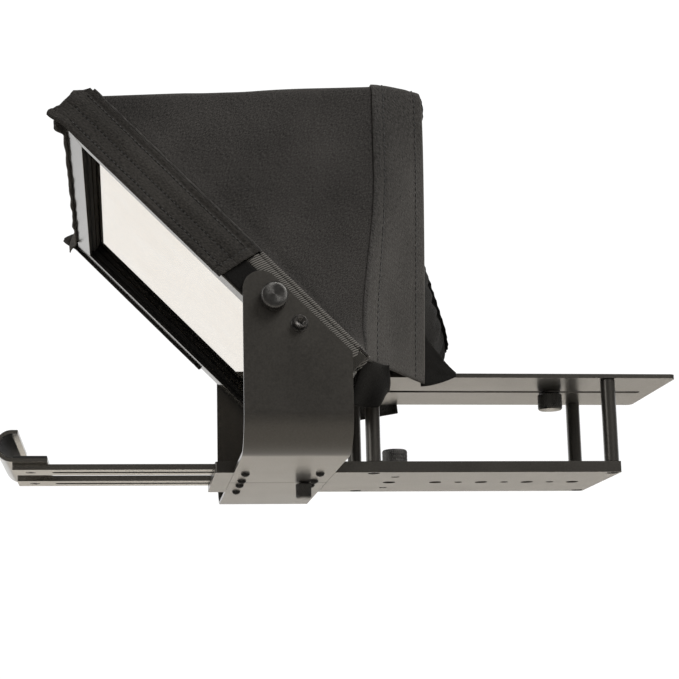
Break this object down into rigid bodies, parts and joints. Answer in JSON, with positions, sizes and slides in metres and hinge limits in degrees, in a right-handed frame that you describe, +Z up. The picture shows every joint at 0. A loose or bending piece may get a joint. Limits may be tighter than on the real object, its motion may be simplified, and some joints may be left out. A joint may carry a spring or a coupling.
{
  "type": "teleprompter",
  "caption": "Tripod-mounted tablet teleprompter: slotted base and camera plate, two L arms, tilting beam-splitter frame, black fabric hood and sliding tablet tray with a front hook.",
  "frame": {"origin": "centre of the tripod screw hole, at the underside of the base plate", "axes": "+Z up; -Y towards the person filmed (tray and hook end), +Y towards the camera end; X across, the object being symmetric about X = 0"},
  "size_m": [0.3196, 0.4797, 0.2641],
  "materials": {
    "anodised": "black anodised plate, fine satin grain, worn edges",
    "rails": "dark anodised extruded rail, satin",
    "screws": "black oxide steel",
    "knobs": "knurled black knob with a turned end face",
    "fabric": "black twill cloth, stitched seams",
    "webbing": "black ribbed webbing and hook-and-loop strip",
    "rubber": "matt black rubber sheet",
    "glass": "half-silvered beam-splitter glass"
  },
  "bodies": {
    "base": {"base_plate": "anodised", "camera_plate": "anodised", "arm_left": "anodised", "arm_right": "anodised", "standoff_front_left": "anodised", "base_screw_front_left": "screws", "plate_screw_front_left": "screws", "standoff_rear_left": "anodised", "base_screw_rear_left": "screws", "plate_screw_rear_left": "screws", "standoff_front_right": "anodised", "base_screw_front_right": "screws", "plate_screw_front_right": "screws", "standoff_rear_right": "anodised", "base_screw_rear_right": "screws", "plate_screw_rear_right": "screws", "flange_screw_1": "screws", "flange_screw_2": "screws", "flange_screw_3": "screws", "flange_screw_4": "screws", "flange_screw_5": "screws", "flange_screw_6": "screws", "flange_screw_7": "screws", "flange_screw_8": "screws"},
    "frame": {"pivot_screw_left": "screws", "pivot_washer_left": "screws", "pivot_spacer_left": "screws", "frame_rail_left": "rails", "hood_flap_left": "webbing", "hood_band_left": "webbing", "pivot_screw_right": "screws", "pivot_washer_right": "screws", "pivot_spacer_right": "screws", "frame_rail_right": "rails", "hood_flap_right": "webbing", "hood_band_right": "webbing", "frame_rail_top": "rails", "frame_rail_bottom": "rails", "hood_flap_top": "webbing", "hood_shell": "fabric", "hood_rear_panel": "fabric", "hood_lens_sleeve": "fabric", "beam_splitter_glass": "glass", "glass_retainer": "rails"},
    "tray": {"tray_bar_left": "anodised", "hook_screw_left": "screws", "tray_bar_right": "anodised", "hook_screw_right": "screws", "front_hook": "anodised", "hook_pad": "rubber"},
    "tray_knob_left": {"tray_knob_left": "knobs"},
    "tray_knob_right": {"tray_knob_right": "knobs"},
    "lock_knob_left": {"lock_knob_left": "knobs"},
    "lock_knob_right": {"lock_knob_right": "knobs"},
    "seam_knob": {"seam_knob": "knobs"},
    "camera_washer": {"camera_washer": "screws"},
    "camera_knob": {"camera_knob": "knobs"}
  },
  "joints": [
    {"name": "frame_fold", "type": "hinge", "parent": "base", "child": "frame", "pos_m": [0, -0.11369, 0.08216], "axis": [1, 0, 0], "range_deg": [0, 45], "deforming": ["hood_shell", "hood_rear_panel", "hood_lens_sleeve"]},
    {"name": "tray_slide", "type": "slide", "parent": "base", "child": "tray", "axis": [0, 1, 0], "range_m": [-0.02, 0.11]},
    {"name": "tray_knob_left_turn", "type": "hinge", "parent": "base", "child": "tray_knob_left", "pos_m": [-0.028, -0.034, 0.008], "axis": [0, 0, 1], "continuous": true},
    {"name": "tray_knob_right_turn", "type": "hinge", "parent": "base", "child": "tray_knob_right", "pos_m": [0.028, -0.034, 0.008], "axis": [0, 0, 1], "continuous": true},
    {"name": "lock_knob_left_turn", "type": "hinge", "parent": "base", "child": "lock_knob_left", "pos_m": [-0.1498, -0.13031, 0.09878], "axis": [1, 0, 0], "continuous": true},
    {"name": "lock_knob_right_turn", "type": "hinge", "parent": "base", "child": "lock_knob_right", "pos_m": [0.1498, -0.13031, 0.09878], "axis": [1, 0, 0], "continuous": true},
    {"name": "seam_knob_turn", "type": "hinge", "parent": "base", "child": "seam_knob", "pos_m": [0, -0.0965, 0], "axis": [0, 0, 1], "continuous": true},
    {"name": "camera_screw_slide", "type": "slide", "parent": "base", "child": "camera_washer", "axis": [0, 1, 0], "range_m": [-0.07, 0.062]},
    {"name": "camera_knob_turn", "type": "hinge", "parent": "camera_washer", "child": "camera_knob", "pos_m": [0, 0.0883, 0.066], "axis": [0, 0, 1], "continuous": true}
  ]
}
